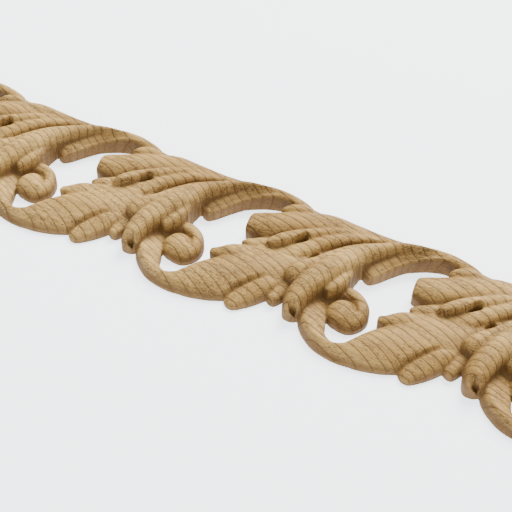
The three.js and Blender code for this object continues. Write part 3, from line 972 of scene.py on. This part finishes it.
def rgb(red: int, green: int, blue: int) -> tuple[float, float, float, float]:
    """A display colour as the linear colour that a shader takes: ((c + 0.055) / 1.055)^2.4.

    In the dark toe, up to 0.04045, it is c / 12.92.
    """
    shares = [channel / 255 for channel in (red, green, blue)]
    return (*(c / 12.92 if c <= 0.04045 else ((c + 0.055) / 1.055) ** 2.4 for c in shares), 1.0)


@dataclass(frozen=True)
class OakFinish:
    """Raw sanded oak: its colours, its growth rings, its pores and its relief, with shade painted into its
    recesses and onto its sloping faces.

    The rings are leaning planes that wander and ripple, and year_change makes some wide and some narrow over
    each year_run. A ring's dark line rises over line_before and falls over line_after, and its early wood
    fades over early_fade, in shares of a ring. A rise is where a noise starts and ends to count, a strength
    is how much a thing darkens the wood, and a lift or depth what it adds to the bumps.
    """

    light: tuple = rgb(212, 172, 100)
    mid: tuple = rgb(176, 137, 70)
    ring: tuple = rgb(92, 65, 30)
    pore: tuple = rgb(70, 44, 18)
    # painted shade: the colour that recesses and sloping faces are darkened towards
    hollow_shade: tuple = rgb(102, 72, 34)

    ring_spacing: float = 2.5 * MM
    ring_facing: tuple = (0.27, 0.94, -0.21)
    wander: Noise = Noise((16.0, 30.0, 30.0))
    wander_reach: float = 5.6 * MM
    ripple: Noise = Noise((90.0, 260.0, 260.0), detail=1)
    ripple_reach: float = 0.5 * MM
    year_run: float = 9.0 * MM
    year_change: float = 3.0 * MM
    line_before: tuple = (0.94, 1.0)
    line_after: tuple = (0.03, 0.16)
    early_fade: tuple = (0.05, 0.5)
    early_strength: float = 0.25
    ring_strength: float = 0.35
    patchy_ring_strength: float = 0.9

    dashes: Noise = Noise((850.0, 3600.0, 3600.0), rough=0.6)
    crowd: Noise = Noise((50.0, 170.0, 170.0))
    crowd_strength: float = 0.4
    pore_rise: tuple = (0.5, 0.64)
    pore_strength: float = 0.6
    steep_pore_strength: float = 0.3

    patches: Noise = Noise((14.0, 60.0, 60.0), 3, 0.55)
    patch_rise: tuple = (0.3, 0.7)
    streaks: Noise = Noise((40.0, 1100.0, 1100.0), rough=0.6)
    streak_rise: tuple = (0.38, 0.7)
    streak_strength: float = 0.42
    # painted shade: how much recesses and sloping faces are darkened, the slope part also standing for darker
    # end grain, and the most they may be
    hollow_shade_strength: float = 0.75
    steep_shade_and_end_grain_strength: float = 0.3
    darkest: float = 0.85

    grain: Noise = Noise((60.0, 700.0, 700.0), 3, 0.6)
    grain_lift: float = 0.35
    ring_depth: float = 0.5
    pore_depth: float = 0.9
    bump_strength: float = 0.35
    bump_distance: float = 0.12 * MM
    roughness: float = 0.62
    ring_roughness: float = 0.1
    grain_roughness: float = 0.08
    specular: float = 0.3

    def material(self) -> bpy.types.Material:
        """Builds the material on Object coordinates and the piece's attributes for painted recess and slope
        shade.
        """
        material = bpy.data.materials.new("raw_oak")
        material.use_nodes = True
        tree = material.node_tree
        tree.nodes.clear()
        bench = Bench(tree)
        place = bench.add("ShaderNodeTexCoord", {}, {}, "Object")
        # where shade is painted: into recesses, and onto sloping faces with their darker end grain
        hollow_shade = bench.add("ShaderNodeAttribute", {"attribute_name": "hollow_shade"}, {}, "Fac")
        steep_shade_and_end_grain = bench.add("ShaderNodeAttribute", {"attribute_name": "steep_shade_and_end_grain"}, {}, "Fac")
        rings = self.rings(bench, place)
        pores = self.pores(bench, place)
        wood = self.wood(bench, place, rings)
        wood = bench.mix(pores * (self.pore_strength + steep_shade_and_end_grain * self.steep_pore_strength), wood, self.pore)
        # painted shade: recesses and sloping faces mixed towards the shade colour, the slope part also
        # standing for darker end grain
        shade = (hollow_shade * self.hollow_shade_strength + steep_shade_and_end_grain * self.steep_shade_and_end_grain_strength).math("MINIMUM", self.darkest)
        grain = bench.noise(place, self.grain)
        height = grain * self.grain_lift - rings * self.ring_depth - pores * self.pore_depth
        bump_inputs = {"Height": height, "Strength": self.bump_strength, "Distance": self.bump_distance}
        bump = bench.add("ShaderNodeBump", {}, bump_inputs)
        rough = self.roughness + rings * self.ring_roughness + grain * self.grain_roughness
        inputs = {"Base Color": bench.mix(shade, wood, self.hollow_shade), "Roughness": rough, "Normal": bump}
        inputs["Specular IOR Level"] = self.specular
        surface = bench.add("ShaderNodeBsdfPrincipled", {}, inputs)
        output = tree.nodes.new("ShaderNodeOutputMaterial")
        tree.links.new(surface.socket, output.inputs["Surface"])
        return material

    def rings(self, bench: Bench, place: Signal) -> Signal:
        """How dark the porous early wood of each year's ring is, from 0 to 1.

        Depth is how far the place lies along ring_facing. It wanders by slow noise, and by a noise of depth
        alone that makes some years wide and some narrow. A thin dark line marks where each year starts, and
        its early wood fades behind the line.
        """
        facing = {0: place, 1: self.ring_facing}
        depth = bench.add("ShaderNodeVectorMath", {"operation": "DOT_PRODUCT"}, facing, "Value")
        wander = bench.noise(place, self.wander) - 0.5
        ripple = bench.noise(place, self.ripple) - 0.5
        years = {"W": depth / self.year_run, "Scale": 1.0, "Detail": 1.0, "Roughness": 0.5}
        change = bench.add("ShaderNodeTexNoise", {"noise_dimensions": "1D"}, years) - 0.5
        moved = depth + wander * self.wander_reach + ripple * self.ripple_reach + change * self.year_change
        phase = (moved / self.ring_spacing).math("FRACT")
        line = (1 - phase.ramp(*self.line_after)).math("MAXIMUM", phase.ramp(*self.line_before))
        early = (1 - phase.ramp(*self.early_fade)) * self.early_strength
        return line.math("MAXIMUM", early)

    def pores(self, bench: Bench, place: Signal) -> Signal:
        """Fine pores, short dashes along the grain that come in patches."""
        dashes = bench.noise(place, self.dashes)
        crowd = bench.noise(place, self.crowd)
        return (dashes + (crowd - 0.5) * self.crowd_strength).ramp(*self.pore_rise)

    def wood(self, bench: Bench, place: Signal, rings: Signal) -> Signal:
        """The colour of the plain wood: light and mid tones in patches, fine streaks, and then the rings."""
        patches = bench.noise(place, self.patches)
        wood = bench.mix(patches.ramp(*self.patch_rise), self.light, self.mid)
        streaks = bench.noise(place, self.streaks)
        wood = bench.mix(streaks.ramp(*self.streak_rise) * self.streak_strength, wood, self.ring)
        strength = (self.ring_strength + patches * self.patchy_ring_strength).math("MINIMUM", 1.0)
        return bench.mix(rings * strength, wood, self.ring)


@dataclass(frozen=True)
class Studio:
    """A pale floor under soft light, and the camera of the photograph. Metres, the lens in millimetres.

    Each lamp has a name, a place, a size, a power in watts and a colour.
    """

    camera_at: tuple = (0.1324, -0.2116, 0.2605)
    camera_looks: tuple = (0.0144, 0.0007, 0.0)
    lens: float = 76.0
    sensor_width: float = 36.0
    nearest: float = 0.01
    floor_half: float = 3.0
    floor_drop: float = 0.05 * MM
    floor_colour: tuple = (0.93, 0.94, 0.96, 1)
    floor_roughness: float = 0.9
    floor_glow: tuple = (0.9, 0.94, 1.0, 1)
    floor_glow_strength: float = 2.2
    sky_colour: tuple = (0.93, 0.96, 1.0, 1)
    sky_strength: float = 0.85
    lamps: tuple = (
        ("window", (0.0, 0.75, 0.75), 0.6, 27.0, (1.0, 0.99, 0.96)),
        ("fill", (0.0, -0.5, 1.0), 1.0, 2.6, (0.97, 0.99, 1.0)),
    )

    def floor(self) -> None:
        """Adds a square floor just under the back."""
        half, down = self.floor_half, -self.floor_drop
        square = [(-half, -half, down), (half, -half, down), (half, half, down), (-half, half, down)]
        mesh = bpy.data.meshes.new("floor")
        mesh.from_pydata(square, [], [(0, 1, 2, 3)])
        floor = placed("floor", mesh)
        material = bpy.data.materials.new("floor")
        material.use_nodes = True
        shader = material.node_tree.nodes["Principled BSDF"]
        shader.inputs["Base Color"].default_value = self.floor_colour
        shader.inputs["Roughness"].default_value = self.floor_roughness
        shader.inputs["Emission Color"].default_value = self.floor_glow
        shader.inputs["Emission Strength"].default_value = self.floor_glow_strength
        mesh.materials.append(material)

    def light(self, name: str, at: tuple, size: float, power: float, colour: tuple) -> None:
        """Adds a square soft light that faces the middle of the moulding."""
        lamp = bpy.data.lights.new(name, "AREA")
        lamp.size = size
        lamp.energy = power
        lamp.color = colour
        holder = placed(name, lamp)
        holder.location = at
        holder.rotation_euler = (-Vector(at)).to_track_quat("-Z", "Y").to_euler()

    def sky(self) -> None:
        """Adds an even pale sky."""
        world = bpy.data.worlds.new("sky")
        world.use_nodes = True
        background = world.node_tree.nodes["Background"]
        background.inputs["Color"].default_value = self.sky_colour
        background.inputs["Strength"].default_value = self.sky_strength
        bpy.context.scene.world = world

    def camera(self) -> None:
        """Adds the camera at the photograph's viewing angle."""
        lens = bpy.data.cameras.new("camera")
        lens.lens = self.lens
        lens.sensor_width = self.sensor_width
        lens.clip_start = self.nearest
        holder = placed("camera", lens)
        holder.location = self.camera_at
        look = Vector(self.camera_looks) - Vector(self.camera_at)
        holder.rotation_euler = look.to_track_quat("-Z", "Y").to_euler()
        bpy.context.scene.camera = holder

    def set_up(self) -> None:
        """Puts up the floor, the lights, the sky and the camera."""
        self.floor()
        for lamp in self.lamps:
            self.light(*lamp)
        self.sky()
        self.camera()


def main() -> None:
    """Loads the frame, carves and dresses the moulding, and sets up the studio."""
    logging.basicConfig(level=logging.INFO, format="%(name)s: %(message)s")
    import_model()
    sizes = Sizes()
    relief = Relief(sizes)
    relief.carve()
    log.info("relief carved, %d by %d places", *relief.height.shape)
    moulding = Moulding(sizes, relief)
    piece = moulding.build()
    moulding.dress(piece, OakFinish().material())
    log.info("%s: %d faces", piece.name, len(piece.data.polygons))
    Studio().set_up()


if __name__ == "__main__":
    main()
